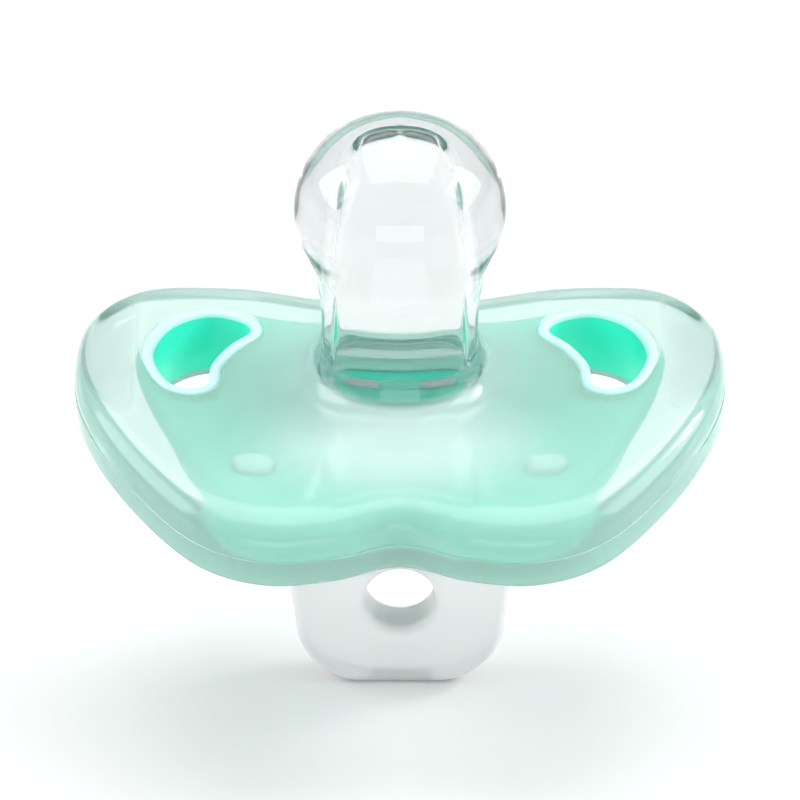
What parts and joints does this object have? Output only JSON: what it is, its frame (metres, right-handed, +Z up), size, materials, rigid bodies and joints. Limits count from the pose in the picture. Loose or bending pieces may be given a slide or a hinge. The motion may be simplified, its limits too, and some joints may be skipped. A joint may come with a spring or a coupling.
{
  "type": "pacifier",
  "caption": "Baby's silicone pacifier: a round hollow teat on a mint winged shield with vents, and a hanging handle tab with a strap hole.",
  "frame": {"origin": "middle of the handle tab's flat foot, which the pacifier stands on", "axes": "+X across the shield's wings, +Y from the chin side of the shield to its nose side, +Z up along the teat"},
  "size_m": [0.0608, 0.0426, 0.0586],
  "materials": {
    "mint_plastic": "satin",
    "clear_silicone": "glossy, clear",
    "frosted_silicone": "frosted"
  },
  "bodies": {
    "shield": {"shield_core": "mint_plastic", "shield_skin": "clear_silicone", "rear_plug": "mint_plastic", "tab_root": "frosted_silicone"},
    "teat": {"teat": "clear_silicone"},
    "handle_tab": {"handle_tab": "frosted_silicone"}
  },
  "joints": [
    {"name": "teat_bend", "type": "hinge", "parent": "shield", "child": "teat", "pos_m": [0, 0.00283, 0.0394], "axis": [1, 0, 0], "range_deg": [-20, 20], "stiffness_Nm_per_rad": 0.05},
    {"name": "tab_bend", "type": "hinge", "parent": "shield", "child": "handle_tab", "pos_m": [0, 0, 0.0214], "axis": [1, 0, 0], "range_deg": [-25, 25], "stiffness_Nm_per_rad": 0.05}
  ]
}
